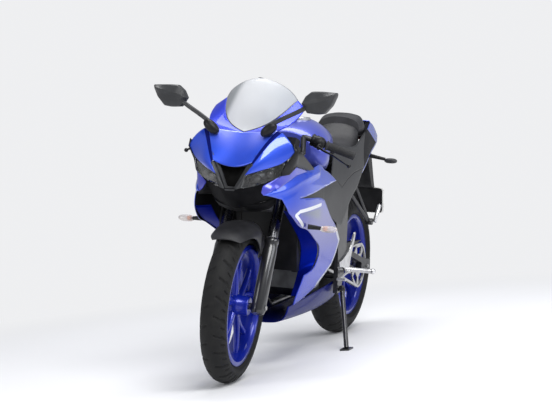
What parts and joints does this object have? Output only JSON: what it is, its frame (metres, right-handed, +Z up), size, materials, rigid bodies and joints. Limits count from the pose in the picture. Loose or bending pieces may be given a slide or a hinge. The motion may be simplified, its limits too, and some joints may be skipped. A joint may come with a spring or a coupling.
{
  "type": "sport motorcycle",
  "caption": "Full-size sport motorcycle with blue fairing, screen and mirrors, leaning on its side stand; wheels, steering, stand and fuel lid move.",
  "frame": {"origin": "on the ground below the centre of the whole part's box", "axes": "+X towards the front wheel, +Y to the rider's left, +Z up; the bike leans 8 degrees to its left on the stand"},
  "size_m": [1.984, 0.7531, 1.1421],
  "materials": {
    "blue_skin": "metallic gloss",
    "blue_tank": "metallic gloss",
    "blue_cast": "gloss paint",
    "black_plastic": "satin",
    "grey_plastic": "satin",
    "black_alloy": "satin",
    "silver_alloy": "satin",
    "grey_alloy": "satin",
    "black_steel": "satin",
    "steel": "ground",
    "chrome": "polished",
    "tyre": "matt",
    "rubber": "matt",
    "seat_cover": "grained",
    "screen": "clear",
    "lens": "clear",
    "mirror_glass": "silvered",
    "red_lens": "clear red",
    "plate_white": "satin"
  },
  "bodies": {
    "chassis": {"main_frame": "black_alloy", "rear_subframe": "black_steel", "engine": "grey_alloy", "radiator": "black_alloy", "exhaust": "black_alloy", "swingarm": "black_alloy", "swingarm_pivot": "steel", "rear_axle": "steel", "rear_shock": "black_steel", "chain": "steel", "chain_guard": "black_plastic", "side_cowls": "blue_skin", "belly_pan": "blue_skin", "nose_cowl": "blue_skin", "windscreen": "screen", "headlamp_lenses": "lens", "headlamp_buckets": "chrome", "nose_trim": "black_plastic", "instruments": "black_plastic", "mirrors": "grey_plastic", "mirror_glasses": "mirror_glass", "indicator_stalks": "rubber", "indicator_lenses": "lens", "fuel_tank": "blue_tank", "rider_seat": "seat_cover", "pillion_seat": "seat_cover", "side_covers": "grey_plastic", "tail_cowls": "blue_skin", "tail_lamp": "red_lens", "rear_fender": "black_plastic", "blank_plate": "plate_white", "footrests": "silver_alloy", "pillion_brackets": "black_steel", "pillion_pegs": "silver_alloy", "foot_controls": "steel", "rear_caliper": "silver_alloy"},
    "steering": {"fork_tubes": "chrome", "fork_lowers": "black_alloy", "fork_clamps": "black_alloy", "handlebars": "black_alloy", "levers": "silver_alloy", "bar_controls": "rubber", "front_fender": "black_plastic", "front_caliper": "silver_alloy", "brake_hose": "rubber", "front_axle": "steel"},
    "front_wheel": {"front_tyre": "tyre", "front_rim": "blue_cast", "front_disc": "steel"},
    "rear_wheel": {"rear_tyre": "tyre", "rear_rim": "blue_cast", "rear_disc": "steel", "rear_sprocket": "steel"},
    "side_stand": {"side_stand": "black_steel"},
    "fuel_lid": {"fuel_lid": "silver_alloy"}
  },
  "joints": [
    {"name": "steering", "type": "hinge", "parent": "chassis", "child": "steering", "pos_m": [0.42429, -0.02673, 0.74892], "axis": [-0.4299, 0.1256, 0.8941], "range_deg": [-35, 25]},
    {"name": "front_wheel_spin", "type": "hinge", "parent": "steering", "child": "front_wheel", "pos_m": [0.69655, -0.08667, 0.29217], "axis": [-0.0788, 0.9813, -0.1757], "continuous": true},
    {"name": "rear_wheel_spin", "type": "hinge", "parent": "chassis", "child": "rear_wheel", "pos_m": [-0.62827, -0.0883, 0.31163], "axis": [-0.0001, 0.9903, -0.1392], "continuous": true},
    {"name": "side_stand_fold", "type": "hinge", "parent": "chassis", "child": "side_stand", "pos_m": [-0.14782, 0.0681, 0.24285], "axis": [0.1305, 0.9709, 0.201], "range_deg": [0, 110.5]},
    {"name": "fuel_lid_open", "type": "hinge", "parent": "chassis", "child": "fuel_lid", "pos_m": [0.10372, 0.0062, 0.98349], "axis": [-0.0001, 0.9903, -0.1392], "range_deg": [0, 85]}
  ]
}
